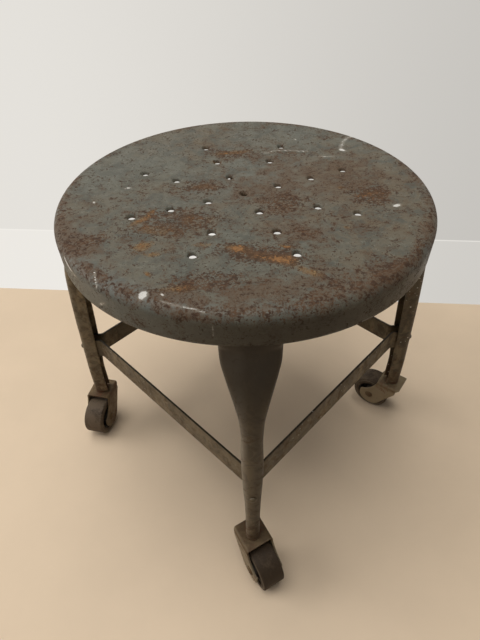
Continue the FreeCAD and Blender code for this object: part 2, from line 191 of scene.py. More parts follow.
def rounded_profile(corners, radii, steps):
    """A chain of straight runs whose corners are rounded by arcs of the given radii.

    At each corner the arc's ends lie radius x tan(half the turn) away, and its points are
    read from the circle between them.
    """
    corners = np.asarray(corners, float)
    out = [corners[0]]
    for before, here, after, radius in zip(corners, corners[1:], corners[2:], radii):
        a = (before - here) / np.linalg.norm(before - here)
        b = (after - here) / np.linalg.norm(after - here)
        half = math.acos(np.clip(a @ b, -1, 1)) / 2
        if radius <= 0 or half > math.radians(89.5):
            out.append(here)
            continue
        reach = min(radius / math.tan(half), 0.49 * np.linalg.norm(before - here),
                    0.49 * np.linalg.norm(after - here))
        bend = reach * math.tan(half)
        centre = here + (a + b) / np.linalg.norm(a + b) * (bend / math.sin(half))
        start, end = here + a * reach - centre, here + b * reach - centre
        sweep = math.atan2(start[0] * end[1] - start[1] * end[0], start @ end)
        t = np.linspace(0, sweep, steps + 1)[:, None]
        across = np.array([-start[1], start[0]])
        out.extend(centre + np.cos(t) * start + np.sin(t) * across)
    out.append(corners[-1])
    return np.array(out)


def smooth_curve(x, knots, values):
    """Monotone cubic through the knots: slopes are harmonic means of the runs beside them."""
    knots, values = np.asarray(knots, float), np.asarray(values, float)
    step, rise = np.diff(knots), np.diff(values)
    slope = rise / step
    product, pair = slope[1:] * slope[:-1], slope[1:] + slope[:-1]
    inner = np.where(product > 0, 2 * product / np.where(pair == 0, 1, pair), 0.0)
    tangent = np.concatenate([[slope[0]], inner, [slope[-1]]])
    k = np.clip(np.searchsorted(knots, x) - 1, 0, len(knots) - 2)
    t = (x - knots[k]) / step[k]
    return ((2 * t ** 3 - 3 * t ** 2 + 1) * values[k]
            + (t ** 3 - 2 * t ** 2 + t) * step[k] * tangent[k]
            + (3 * t ** 2 - 2 * t ** 3) * values[k + 1]
            + (t ** 3 - t ** 2) * step[k] * tangent[k + 1])


def bevelled(piece, width):
    """Small rounded edges, as sheared and tumbled steel has."""
    modifier = piece.modifiers.new("Edges", "BEVEL")
    modifier.width = width
    modifier.segments = 2
    modifier.limit_method = "ANGLE"
    modifier.angle_limit = math.radians(35.0)


def thickened(piece, sheet):
    """Wall of a sheet under an outer surface."""
    modifier = piece.modifiers.new("Sheet", "SOLIDIFY")
    modifier.thickness = sheet
    modifier.offset = -1.0
    modifier.use_even_offset = True


def patch(points, centre, reach, turn=0.0):
    """Soft oval spot: exp(-(distance in ovals) squared), 1 at its centre."""
    c, s = math.cos(math.radians(turn)), math.sin(math.radians(turn))
    dx, dy = points[..., 0] - centre[0], points[..., 1] - centre[1]
    u, v = (dx * c + dy * s) / reach[0], (dy * c - dx * s) / reach[1]
    return np.exp(-(u ** 2 + v ** 2))


def stroke(points, line, width):
    """Soft line along a chain of points: exp(-(distance to the chain / width) squared)."""
    line = np.asarray(line, float)
    start, way = line[:-1], np.diff(line, axis=0)
    away = points[:, None, :2] - start[None]
    t = np.clip((away * way).sum(-1) / (way ** 2).sum(-1), 0, 1)
    gap = np.linalg.norm(away - t[..., None] * way, axis=-1).min(1)
    return np.exp(-(gap / width) ** 2)


# ---------------------------------------------------------------- finishes
class Nodes:
    """Shorthand for a tree of nodes: most methods add one and return its output."""

    def __init__(self, tree):
        self.tree = tree

    def put(self, socket, value):
        """Link an output, or set a plain number, vector or colour."""
        if isinstance(value, bpy.types.NodeSocket):
            self.tree.links.new(value, socket)
        elif hasattr(value, "__len__"):
            socket.default_value = (tuple(value) + (1.0,))[:len(socket.default_value)]
        else:
            socket.default_value = value

    def add(self, kind, values=None, **settings):
        """New node with its settings, and the values of its inputs by name or number."""
        node = self.tree.nodes.new(kind)
        for key, value in settings.items():
            setattr(node, key, value)
        for key, value in (values or {}).items():
            self.put(node.inputs[key], value)
        return node

    def math(self, operation, *values):
        node = self.add("ShaderNodeMath", dict(enumerate(values)), operation=operation)
        return node.outputs["Value"]

    def total(self, *parts):
        """Weighted sum of (value, weight) pairs."""
        out = 0.0
        for value, weight in parts:
            out = self.math("MULTIPLY_ADD", value, weight, out)
        return out

    def seen(self):
        """1 for camera, glossy and transmission rays, 0 for all others."""
        rays = self.add("ShaderNodeLightPath").outputs
        shiny = self.math("MAXIMUM", rays["Is Glossy Ray"], rays["Is Transmission Ray"])
        return self.math("MAXIMUM", rays["Is Camera Ray"], shiny)


class Finish(Nodes):
    """One procedural material in object coordinates."""

    def __init__(self, name):
        self.material = bpy.data.materials.new(name)
        self.material.use_nodes = True
        super().__init__(self.material.node_tree)
        self.tree.nodes.clear()
        self.shader = self.add("ShaderNodeBsdfPrincipled")
        self.output = self.add("ShaderNodeOutputMaterial",
                               {"Surface": self.shader.outputs["BSDF"]})
        self.place = self.add("ShaderNodeTexCoord").outputs["Object"]

    def noise(self, scale, detail=4.0, rough=0.6, distortion=0.0, place=None):
        node = self.add("ShaderNodeTexNoise", {
            "Scale": scale, "Detail": detail, "Roughness": rough, "Distortion": distortion,
            "Vector": place or self.place})
        return node.outputs["Fac"]

    def stretched(self, scale):
        """Object coordinates scaled by axis, for streaks."""
        node = self.add("ShaderNodeMapping", {"Scale": scale, "Vector": self.place})
        return node.outputs["Vector"]

    def cells(self, scale):
        """Distance to the nearest of many scattered points."""
        node = self.add("ShaderNodeTexVoronoi", {"Scale": scale, "Vector": self.place})
        return node.outputs["Distance"]

    def attribute(self, name):
        return self.add("ShaderNodeAttribute", attribute_name=name).outputs["Fac"]

    def axis(self, letter):
        """One object coordinate, in metres."""
        return self.add("ShaderNodeSeparateXYZ", {"Vector": self.place}).outputs[letter]

    def step(self, value, low, high, to_low=0.0, to_high=1.0):
        """Smooth step of a value from low to high."""
        node = self.add("ShaderNodeMapRange", {
            "Value": value, "From Min": low, "From Max": high, "To Min": to_low,
            "To Max": to_high}, interpolation_type="SMOOTHSTEP")
        return node.outputs["Result"]

    def mix(self, share, a, b):
        """Mix of two colours."""
        return self.add("ShaderNodeMix", {0: share, 6: a, 7: b}, data_type="RGBA").outputs[2]

    def blend(self, share, a, b):
        """Mix of two values."""
        return self.add("ShaderNodeMix", {0: share, 2: a, 3: b}).outputs[0]

    def bump(self, height, distance, strength):
        """Relief of a height, in metres."""
        node = self.add("ShaderNodeBump", {"Height": height, "Distance": distance,
                                           "Strength": strength})
        self.put(self.shader.inputs["Normal"], node.outputs["Normal"])

    def finish(self, base, roughness, metallic, specular):
        values = {"Base Color": base, "Roughness": roughness, "Metallic": metallic,
                  "Specular IOR Level": specular}
        for key, value in values.items():
            self.put(self.shader.inputs[key], value)
        return self.material


def scaled(base, amount):
    """A colour made lighter or darker."""
    return tuple(min(1.0, c * amount) for c in base)


def seat_enamel():
    """Worn enamel of the seat.

    Clouds of two greys lie under a brown film. Ochre blooms, veins and fine dots of rust,
    pale smears and scuffs with a painted highlight among them, dark grain and painted shade
    lie over it.
    """
    c = colours()
    f = Finish("seat_enamel")
    drift = f.noise(7.0, 3.0, 0.55)
    cloud = f.noise(24.0, 6.0, 0.68, 0.6)
    mottle = f.noise(75.0, 7.0, 0.72, 0.6)
    fine = f.noise(210.0, 5.0, 0.70, 0.5)
    speck = f.noise(430.0, 4.0, 0.68, 0.4)
    grain = f.noise(1200.0, 2.0, 0.7)
    wear, bloom = f.attribute("wear"), f.attribute("bloom")
    pale, film = f.attribute("pale"), f.attribute("film")

    greys = f.mix(f.step(f.total((drift, 1.0), (cloud, 0.35)), 0.50, 0.86),
                  tuple(c.enamel), tuple(c.enamel_warm))
    shadow = f.step(f.noise(50.0, 6.0, 0.70, 0.8), 0.42, 0.64)
    greys = f.mix(shadow, greys, scaled(c.enamel, 0.62))
    greys = f.mix(f.attribute("cool"), greys, (0.128, 0.140, 0.126))
    greys = f.mix(f.step(fine, 0.50, 0.66, 0.0, 0.5), greys, scaled(c.enamel, 1.55))
    film_share = f.step(f.total((mottle, 0.50), (cloud, 0.40), (fine, 0.22), (film, 0.15)),
                        0.555, 0.70)
    coat = f.mix(f.math("MULTIPLY", film_share, 0.85), greys, tuple(c.stain))

    ragged = f.total((cloud, 0.34), (mottle, 0.40), (fine, 0.34))
    bloom_share = f.step(f.total((ragged, 1.0), (bloom, 0.34)), 0.68, 0.84)
    ochre = f.mix(f.step(mottle, 0.36, 0.64), tuple(c.bloom), (0.135, 0.082, 0.034))
    ochre = f.mix(f.step(fine, 0.50, 0.66), ochre, (0.34, 0.215, 0.095))
    coat = f.mix(f.math("MULTIPLY", bloom_share, 0.80), coat, ochre)

    twist = f.noise(120.0, 3.0, 0.62, 1.6)
    vein = f.step(f.math("ABSOLUTE", f.math("SUBTRACT", twist, 0.5)), 0.010, 0.034, 1.0, 0.0)
    patchy = f.step(f.total((cloud, 0.55), (mottle, 0.45), (wear, 0.13), (film, 0.05)),
                    0.46, 0.60)
    vein = f.math("MULTIPLY", vein, patchy)
    dots = f.step(f.total((speck, 0.52), (fine, 0.30), (mottle, 0.24), (wear, 0.085),
                          (bloom, 0.05)), 0.571, 0.610)
    dots = f.math("MAXIMUM", dots, f.math("MULTIPLY", vein, 0.85))
    dot_colour = f.mix(f.step(fine, 0.44, 0.58), (0.100, 0.048, 0.022), scaled(c.rust, 0.8))
    coat = f.mix(f.math("MULTIPLY", dots, 0.86), coat, dot_colour)
    flare = f.step(f.total((speck, 0.42), (mottle, 0.34), (bloom, 0.17)), 0.53, 0.60)
    flare = f.math("MULTIPLY", flare, f.step(bloom, 0.12, 0.5))
    coat = f.mix(f.math("MULTIPLY", flare, 0.65), coat, (0.36, 0.175, 0.062))

    # Pale marks: smears, scuffs, and the painted highlight along the top of the skirt.
    coat = f.mix(f.step(pale, 0.10, 0.80, 0.0, 0.62), coat, (0.40, 0.36, 0.29))
    scuff_and_highlight = f.step(f.math("ADD", pale, f.math("SUBTRACT", fine, 0.5)), 0.44, 0.64)
    coat = f.mix(scuff_and_highlight, coat, (0.68, 0.66, 0.61))
    coat = f.mix(f.step(grain, 0.35, 0.75, 0.0, 0.30), coat, (0.028, 0.023, 0.016))
    # Painted shade on the front of the skirt and rim.
    coat = f.mix(f.attribute("grime"), coat, (0.022, 0.016, 0.008))

    roughness = f.blend(bloom_share, f.step(cloud, 0.3, 0.7, 0.38, 0.56), 0.78)
    roughness = f.blend(dots, roughness, 0.85)
    f.bump(f.total((cloud, 0.8), (fine, 0.30), (dots, -0.45)), 0.0004, 0.65)
    return f.finish(coat, roughness, 0.0, 0.3)


def frame_enamel(name, tone, foot_rust, flecks=0.0, warm=0.0, shade=0.0, edge=0.0):
    """Darker enamel of legs, braces and rivets: matt clouds and streaks under a brown film.

    tone lightens it, foot_rust thickens film and pits towards the foot, flecks adds pale
    spots, warm widens the film, shade is painted shade that darkens the part under the seat,
    and edge is the height of a top edge that is dark.
    """
    c = colours()
    f = Finish(name)
    cloud = f.noise(34.0, 6.0, 0.66, 0.3)
    mottle = f.noise(120.0, 7.0, 0.72, 0.5)
    speck = f.noise(420.0, 5.0, 0.72)
    streak = f.noise(60.0, 4.0, 0.6, 0.0, f.stretched((1.0, 1.0, 0.16)))
    base = scaled(c.frame_enamel, tone)
    cool = (base[0] * 0.88, base[1] * 0.98, base[2] * 1.12)
    coat = f.mix(f.step(f.total((cloud, 1.0), (streak, 0.5)), 0.62, 0.92), base, cool)
    coat = f.mix(f.step(streak, 0.50, 0.66, 0.0, 0.75), coat, scaled(base, 1.9))
    dark = f.step(f.noise(75.0, 5.0, 0.7, 0.6), 0.45, 0.60, 0.0, 0.85)
    coat = f.mix(dark, coat, scaled(base, 0.45))
    # Lighter rubbed corners; on the front leg, a painted highlight along its left corner.
    rub = f.math("MULTIPLY", f.attribute("rub"), f.step(cloud, 0.38, 0.56, 0.4, 0.9))
    coat = f.mix(rub, coat, (0.205, 0.178, 0.142))
    height = f.axis("Z")
    low = f.step(height, 0.045, 0.13, 1.0, 0.0)
    film = f.step(f.total((mottle, 0.7), (cloud, 0.35), (low, 0.10 * foot_rust)),
                  0.53 - 0.05 * warm, 0.68)
    coat = f.mix(f.math("MULTIPLY", film, 0.7), coat, (0.074, 0.043, 0.022))
    pits = f.step(f.total((speck, 0.7), (mottle, 0.3), (low, 0.07 * foot_rust)), 0.60, 0.66)
    coat = f.mix(f.math("MULTIPLY", pits, 0.8), coat, (0.085, 0.028, 0.011))
    if edge:
        line = f.step(height, edge - 0.0011, edge - 0.0005, 0.0, 0.9)
        coat = f.mix(line, coat, (0.016, 0.011, 0.006))
    # Painted shade under the seat.
    if shade:
        coat = f.mix(f.step(height, 0.215, 0.300, 0.0, shade), coat, (0.020, 0.013, 0.006))
    if flecks:
        spots = f.cells(150.0)
        many = f.noise(35.0, 2.0, 0.5)
        mark = f.math("MULTIPLY", f.step(spots, 0.10, 0.17, 1.0, 0.0),
                      f.step(many, 0.52, 0.58))
        coat = f.mix(f.math("MULTIPLY", mark, flecks), coat, (0.60, 0.57, 0.50))
    # Painted shade, on the right side of the front leg's web.
    coat = f.mix(f.attribute("grime"), coat, (0.022, 0.015, 0.008))
    roughness = f.blend(film, f.step(cloud, 0.3, 0.7, 0.38, 0.52), 0.72)
    f.bump(f.total((cloud, 0.7), (speck, 0.25), (pits, -0.4)), 0.0004, 0.55)
    return f.finish(coat, roughness, 0.0, 0.3)


def caster_steel(name, rust, tone, metallic=0.35, grey=0.5):
    """Dull plated steel gone brown, with patches of rust and of plating that is left.

    rust widens the rust, tone lightens the steel, metallic is the metallic value where no
    rust lies, and grey is how far and how strongly the cooler patches spread.
    """
    c = colours()
    f = Finish(name)
    cloud = f.noise(60.0, 6.0, 0.66, 0.4)
    speck = f.noise(380.0, 5.0, 0.72)
    base = scaled(c.caster_steel, tone)

    def tinted(red, green, blue):
        return base[0] * red, base[1] * green, base[2] * blue

    coat = f.mix(f.step(cloud, 0.36, 0.62), base, tinted(0.55, 0.52, 0.50))
    cool = f.step(f.noise(22.0, 3.0, 0.5), 0.72 - 0.44 * grey, 0.94 - 0.44 * grey, 0.0, grey)
    coat = f.mix(cool, coat, tinted(0.9, 1.04, 1.25))
    # Lighter, cooler side plates: partly plating that is left, partly painted light.
    coat = f.mix(f.attribute("plate"), coat, tinted(1.7, 2.1, 2.9))
    red = f.step(f.total((speck, 0.5), (cloud, 0.55)), 0.56 - 0.09 * rust, 0.70 - 0.06 * rust)
    coat = f.mix(f.math("MULTIPLY", red, 0.75), coat, (0.115, 0.042, 0.018))
    f.bump(f.total((cloud, 0.6), (speck, 0.35)), 0.0004, 0.6)
    return f.finish(coat, f.blend(red, f.step(cloud, 0.3, 0.7, 0.40, 0.58), 0.85),
                    f.blend(red, metallic, 0.0), 0.35)


def wheel_rubber(name, dusty):
    """Hard black rubber under dust, with a pale line round each side."""
    c = colours()
    f = Finish(name)
    cloud = f.noise(70.0, 6.0, 0.65, 0.3)
    speck = f.noise(500.0, 5.0, 0.7)
    dust = f.step(f.total((cloud, 0.7), (speck, 0.4)), 0.52 - 0.14 * dusty, 0.70 - 0.08 * dusty)
    dust = f.math("MULTIPLY", dust, 0.4 + 0.5 * dusty)
    coat = f.mix(dust, tuple(c.rubber), (0.120, 0.086, 0.056))
    coat = f.mix(f.math("MULTIPLY", f.attribute("edge"), 0.5), coat, (0.19, 0.155, 0.11))
    f.bump(f.total((speck, 0.5), (cloud, 0.6)), 0.0003, 0.6)
    return f.finish(coat, f.step(cloud, 0.3, 0.7, 0.54, 0.74), 0.0, 0.2)


def wheel_centre():
    """Moulded wheel centre, black under dust."""
    f = Finish("wheel_centre")
    cloud = f.noise(90.0, 5.0, 0.65)
    dust = f.step(cloud, 0.40, 0.65, 0.0, 0.7)
    coat = f.mix(dust, (0.030, 0.025, 0.020), (0.075, 0.058, 0.040))
    f.bump(f.noise(420.0, 4.0, 0.6), 0.0002, 0.5)
    return f.finish(coat, f.step(cloud, 0.3, 0.7, 0.52, 0.72), 0.0, 0.4)


def wear(piece, material):
    """Give a piece its one material."""
    piece.data.materials.clear()
    piece.data.materials.append(material)


# ---------------------------------------------------------------- pieces
def hole_centres():
    """Centre hole, then rings of holes: 1 to 3 on every other row, 2 and 3 between them."""
    pitch = sizes().ring_pitch
    places = [(0.0, 0.0)]
    for row in range(8):
        angle = sizes().ring_turn + math.radians(45.0 * row)
        for ring in range(1 if row % 2 == 0 else 2, 4):
            places.append((ring * pitch * math.cos(angle), ring * pitch * math.sin(angle)))
    return np.array(places)


def seat_height_at(x, y):
    """Height of the seat's face: a shallow bowl, less a soft dip round each hole.

    Bowl: top - depth (1 - (r / edge)^2). Dip: drop t^2 (1.6 - 0.6 t), where t rises from
    0 at the radius of the lip to 1 at the hole's edge.
    """
    s = sizes()
    edge = seat_radius - s.rim_radius - s.rim_land
    r = np.hypot(x, y)
    height = seat_top - s.dish_depth * np.clip(1 - (r / edge) ** 2, 0, 1)
    centres = hole_centres()
    gap = np.hypot(x[..., None] - centres[:, 0], y[..., None] - centres[:, 1]).min(-1)
    t = np.clip((s.hole_lip - gap) / (s.hole_lip - s.hole_radius), 0, 1)
    return height - s.hole_drop * t ** 2 * (1.6 - 0.6 * t)


def disc_map(a, b):
    """Square to disc: rings of the square become circles, and a ring's sides become arcs."""
    radius = np.maximum(np.abs(a), np.abs(b))
    wide = np.abs(a) >= np.abs(b)
    ratio = np.where(wide, b / np.where(a == 0, 1, a), a / np.where(b == 0, 1, b))
    angle = np.where(wide, math.pi / 4 * ratio, math.pi / 2 - math.pi / 4 * ratio)
    sign = np.where(wide, np.sign(a), np.sign(b))
    return sign * radius * np.cos(angle), sign * radius * np.sin(angle)


def ring_faces(rows):
    """Quads between closed rings of points, given as rows of their numbers."""
    return rows.ravel()[grid_faces(*rows.shape, False, True)]


def seat_surface():
    """Points and faces of the seat's outer face.

    A square grid is mapped to the disc inside the rim. Round each hole a block of its
    cells gives way to rings that pass from the block's edge to the hole's circle. Rings
    over the rim and down the skirt follow a quarter circle and a straight line.
    """
    s = sizes()
    cells, half = 136, 3  # cells across the grid, and from a hole to the edge of its block
    land_outer = seat_radius - s.rim_radius
    span = np.linspace(-1, 1, cells + 1)
    a, b = np.meshgrid(span, span, indexing="ij")
    x, y = disc_map(a, b)
    x, y = x * land_outer, y * land_outer
    index = np.arange((cells + 1) ** 2).reshape(cells + 1, cells + 1)
    keep = np.ones((cells, cells), bool)
    points = [np.stack([x.ravel(), y.ravel()], -1)]
    faces = []
    count = len(points[0])
    for cx, cy in hole_centres():
        i, j = np.unravel_index(np.argmin(np.hypot(x - cx, y - cy)), x.shape)
        keep[i - half:i + half, j - half:j + half] = False
        ring = np.concatenate([index[i - half:i + half, j - half],
                               index[i + half, j - half:j + half],
                               index[i + half:i - half:-1, j + half],
                               index[i - half, j + half:j - half:-1]])
        outer = points[0][ring]
        away = outer - (cx, cy)
        start = math.atan2(away[0, 1], away[0, 0])
        hand = np.sign(away[0, 0] * away[1, 1] - away[0, 1] * away[1, 0])
        turn = start + hand * np.arange(len(ring)) * 2 * math.pi / len(ring)
        inner = np.stack([cx + s.hole_radius * np.cos(turn),
                          cy + s.hole_radius * np.sin(turn)], -1)
        steps = np.array([0.22, 0.42, 0.60, 0.74, 0.85, 0.93, 1.0])[:, None, None]
        rings = outer + (inner - outer) * steps
        new = count + np.arange(len(steps) * len(ring)).reshape(len(steps), len(ring))
        rows = np.concatenate([ring[None], new])
        faces.append(ring_faces(rows)[:, [0, 3, 2, 1]])
        points.append(rings.reshape(-1, 2))
        count += rings.shape[0] * rings.shape[1]
    i, j = np.nonzero(keep)
    faces.append(np.stack([index[i, j], index[i, j + 1],
                           index[i + 1, j + 1], index[i + 1, j]], -1))
    flat = np.concatenate(points)
    top = np.column_stack([flat, seat_height_at(flat[:, 0], flat[:, 1])])

    edge = np.concatenate([index[:-1, 0], index[-1, :-1], index[:0:-1, -1], index[0, :0:-1]])
    turn = np.arctan2(flat[edge, 1], flat[edge, 0])
    quarter = np.linspace(0, math.pi / 2, 11)[1:]
    radii = np.concatenate([land_outer + s.rim_radius * np.sin(quarter), np.full(10, seat_radius)])
    rim_low = seat_top - s.rim_radius
    heights = np.concatenate([rim_low + s.rim_radius * np.cos(quarter),
                              np.linspace(rim_low, skirt_bottom, 11)[1:]])
    side = np.stack([radii[:, None] * np.cos(turn), radii[:, None] * np.sin(turn),
                     heights[:, None] + 0 * turn], -1)
    new = len(top) + np.arange(side[..., 0].size).reshape(len(radii), -1)
    faces.append(ring_faces(np.concatenate([edge[None], new])))
    return np.concatenate([top, side.reshape(-1, 3)]), np.concatenate(faces)[:, ::-1]


# Soft spots on the seat: centre, reach along and across, turn in degrees, level. Metres.
SPOTS = {
    "bloom": (
        ((-0.011, 0.090), (0.030, 0.007), 8, 0.9), ((-0.030, 0.070), (0.012, 0.004), 0, 0.7),
        ((-0.045, 0.014), (0.030, 0.012), 0, 0.7), ((-0.094, -0.047), (0.014, 0.0036), 42, 1.0),
        ((-0.086, -0.032), (0.010, 0.0032), 58, 0.9),
        ((-0.078, -0.064), (0.024, 0.014), -12, 0.74),
        ((-0.045, -0.046), (0.030, 0.014), -10, 0.70),
        ((-0.087, -0.089), (0.010, 0.007), 30, 1.1),
        ((-0.077, -0.101), (0.010, 0.004), 10, 1.0),
        ((-0.0775, -0.128), (0.0036, 0.0065), 35, 1.0),
        ((-0.050, -0.146), (0.022, 0.0042), 4, 0.95),
        ((-0.0085, -0.0935), (0.012, 0.006), -10, 1.15),
        ((0.012, -0.107), (0.022, 0.007), -22, 0.90), ((0.032, -0.110), (0.013, 0.009), 0, 0.75),
        ((0.0313, -0.0937), (0.008, 0.003), -20, 0.95),
        ((0.047, -0.130), (0.015, 0.006), -35, 0.90), ((0.119, -0.015), (0.018, 0.014), 0, 0.8),
        ((0.094, 0.004), (0.005, 0.004), 0, 0.8), ((0.062, -0.052), (0.020, 0.010), 0, 0.5),
        ((-0.038, -0.088), (0.013, 0.004), 0, 0.8), ((0.086, -0.069), (0.006, 0.004), 0, 0.7),
        ((0.060, 0.084), (0.028, 0.006), -10, 0.5), ((0.076, -0.100), (0.010, 0.010), 0, 0.45)),
    "wear": (
        ((0.013, -0.104), (0.034, 0.013), -12, 1.2), ((-0.060, -0.048), (0.036, 0.022), -10, 0.8),
        ((0.036, -0.021), (0.024, 0.018), 0, 1.1), ((-0.030, -0.139), (0.030, 0.011), 0, 1.2),
        ((0.119, -0.015), (0.022, 0.022), 0, 0.9), ((-0.129, -0.081), (0.020, 0.012), 30, 1.0),
        ((0.048, -0.074), (0.014, 0.012), 0, 0.9), ((-0.045, 0.014), (0.026, 0.012), 0, 0.7),
        ((0.080, -0.140), (0.050, 0.012), 25, 0.7), ((-0.011, 0.088), (0.034, 0.010), 0, 0.6)),
    "film": (
        ((0.060, 0.020), (0.090, 0.060), 0, 0.8), ((0.048, -0.074), (0.022, 0.018), 0, 1.1),
        ((0.040, -0.145), (0.110, 0.020), 8, 0.7), ((-0.140, -0.085), (0.020, 0.040), 35, 0.9),
        ((-0.110, 0.070), (0.050, 0.050), 0, -0.9), ((-0.010, -0.125), (0.050, 0.012), 0, -0.5),
        ((-0.020, 0.140), (0.120, 0.020), 0, -0.3)),
    "pale": (
        ((-0.0775, -0.1530), (0.0034, 0.0046), -25, 1.15),
        ((-0.063, -0.153), (0.0030, 0.0014), 10, 0.95),
        ((0.139, -0.036), (0.0050, 0.0030), 20, 0.85),
        ((0.0621, 0.1173), (0.0016, 0.0018), 0, 1.0),
        ((-0.1424, -0.0149), (0.0015, 0.0015), 0, 1.2),
        ((-0.1151, 0.0132), (0.0050, 0.0014), 22, 0.85),
        ((-0.087, -0.020), (0.0030, 0.0070), 0, 0.36),
        ((0.1130, 0.0835), (0.0050, 0.0022), -30, 0.42))}

# Pale scratches on the seat: points, width, level. Metres.
SCRATCHES = (
    (((0.1290, 0.1190), (0.1216, 0.1150), (0.1150, 0.1050), (0.1105, 0.0930), (0.1100, 0.0850)),
     0.0029, 0.60),
    (((0.0250, 0.0865), (0.0370, 0.0918), (0.0536, 0.0910), (0.0720, 0.0865)), 0.0022, 0.56),
    (((0.0840, 0.0735), (0.0930, 0.0710), (0.0990, 0.0725)), 0.0020, 0.50),
    (((-0.0640, -0.1606), (-0.0533, -0.1647), (-0.0424, -0.1682), (-0.0325, -0.1722)),
     0.0011, 0.60),
    (((-0.1190, -0.1235), (-0.1168, -0.1320), (-0.1157, -0.1368)), 0.0010, 0.70))

# Places on the skirt, as bearings in degrees and heights in metres.
# Painted highlight along the top of the skirt at the front left: bearing, height, and fall of
# height per degree.
RIM_HIGHLIGHT_BEARING, RIM_HIGHLIGHT_HEIGHT, RIM_HIGHLIGHT_FALL = -143.5, 0.3515, 0.0009
DRIP_BEARING, SLANTED_DRIP_BEARING, DRIP_FOOT = -98.5, -129.6, 0.340
# FRONT_BEARING centres the painted shade on the front of the skirt.
FRONT_BEARING, COOL_BEARING = -74.0, -120.0


def seat_marks(p):
    """How worn, rusty, stained and scuffed each point of the seat is, and where light
    and shade are painted on it.

    Soft spots and scratches add up. The rim is worn, the skirt has a painted highlight along
    its top at the front left, two pale drips and painted shade in front, and the seat's edge is
    cooler at the front left.
    """
    marks = {key: sum(level * patch(p, centre, reach, turn)
                      for centre, reach, turn, level in spots) for key, spots in SPOTS.items()}
    marks["pale"] = marks["pale"] + sum(level * stroke(p, line, width)
                                        for line, width, level in SCRATCHES)
    radius, height = np.hypot(p[:, 0], p[:, 1]), p[:, 2]
    bearing = np.degrees(np.arctan2(p[:, 1], p[:, 0]))
    rim = np.exp(-((radius - (seat_radius - 0.006)) / 0.007) ** 2)
    skirt = np.clip((seat_top - 0.006 - height) / 0.004, 0, 1)
    marks["wear"] = marks["wear"] + 0.5 * rim
    marks["film"] = marks["film"] + 0.45 * rim - 0.6 * skirt
    marks["bloom"] = marks["bloom"] * (1 - skirt) - 0.5 * skirt

    # Painted highlight along the top of the skirt at the front left, where the rim rounds down.
    along = bearing - RIM_HIGHLIGHT_BEARING
    rim_highlight = np.exp(-(along / 5.5) ** 2
                    - ((height - RIM_HIGHLIGHT_HEIGHT + RIM_HIGHLIGHT_FALL * along) / 0.0016) ** 2)
    drips = np.exp(-((bearing - DRIP_BEARING) / 0.4) ** 2) * (height > DRIP_FOOT)
    slanted = bearing - SLANTED_DRIP_BEARING - 400 * (height - DRIP_FOOT)
    drips = drips + 1.3 * np.exp(-(slanted / 0.9) ** 2 - ((height - DRIP_FOOT) / 0.005) ** 2)
    marks["pale"] = marks["pale"] * (1 - skirt) + 0.55 * drips * skirt + 0.85 * rim_highlight

    outer = np.clip((radius - (seat_radius - 0.022)) / 0.012, 0, 1)
    marks["cool"] = 0.75 * outer * np.exp(-((bearing - COOL_BEARING) / 26.0) ** 2)
    # Painted shade on the front of the skirt and rim, below the top.
    front = np.exp(-((bearing - FRONT_BEARING) / 42.0) ** 2)
    marks["grime"] = 0.88 * front * np.clip((seat_top - 0.004 - height) / 0.006, 0, 1)
    return marks


class StoolSeat(bpy.types.Operator):
    """Dished seat with pressed-down holes, rounded rim and deep skirt"""

    bl_idname = "stool.seat"
    bl_label = "Seat"

    def execute(self, context):
        points, faces = seat_surface()
        piece = mesh_object("seat_shell", points, faces, 60.0, seat_marks(points))
        thickened(piece, sizes().seat_sheet)
        wear(piece, seat_enamel())
        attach(piece, "frame")
        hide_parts("seat_pan")
        return {"FINISHED"}


# Down the leg: share of the drop, share of the spread, width and depth in millimetres.
LEG_STATIONS = (
    (0.030, 0.050, 49.6, 10.0), (0.070, 0.160, 48.4, 10.8), (0.115, 0.300, 42.6, 12.2),
    (0.165, 0.440, 34.8, 14.4), (0.220, 0.545, 27.4, 16.6), (0.285, 0.622, 21.2, 18.4),
    (0.370, 0.692, 18.9, 19.0), (0.500, 0.770, 20.3, 19.0), (0.600, 0.826, 19.2, 19.0),
    (0.760, 0.922, 15.8, 19.0), (0.860, 0.972, 14.8, 18.2), (1.000, 1.000, 15.0, 18.2))
TAB_WIDTH, TAB_DEPTH, TAB_LAP, TAB_GAP = 49.8, 8.0, 18.0, 0.2
LEG_CROWN, LEG_CORNER = 1.1, 6.0


def leg_curves(z):
    """Reach, width, depth and crown radius of the +X leg at heights z, as smooth curves."""
    tab_reach = seat_radius - sizes().seat_sheet - TAB_GAP * MM
    drop, spread = skirt_bottom - leg_low[2], leg_high[0] - tab_reach
    stations = np.array(LEG_STATIONS)
    knots = np.concatenate([[skirt_bottom + TAB_LAP * MM, skirt_bottom],
                            skirt_bottom - stations[:, 0] * drop])
    values = (np.concatenate([[tab_reach] * 2, tab_reach + stations[:, 1] * spread]),
              np.concatenate([[TAB_WIDTH] * 2, stations[:, 2]]) * MM,
              np.concatenate([[TAB_DEPTH] * 2, stations[:, 3]]) * MM,
              np.concatenate([[tab_reach] * 2, LEG_CROWN * stations[:, 2] * MM]))
    order = np.argsort(knots)
    return [smooth_curve(z, knots[order], value[order]) for value in values]


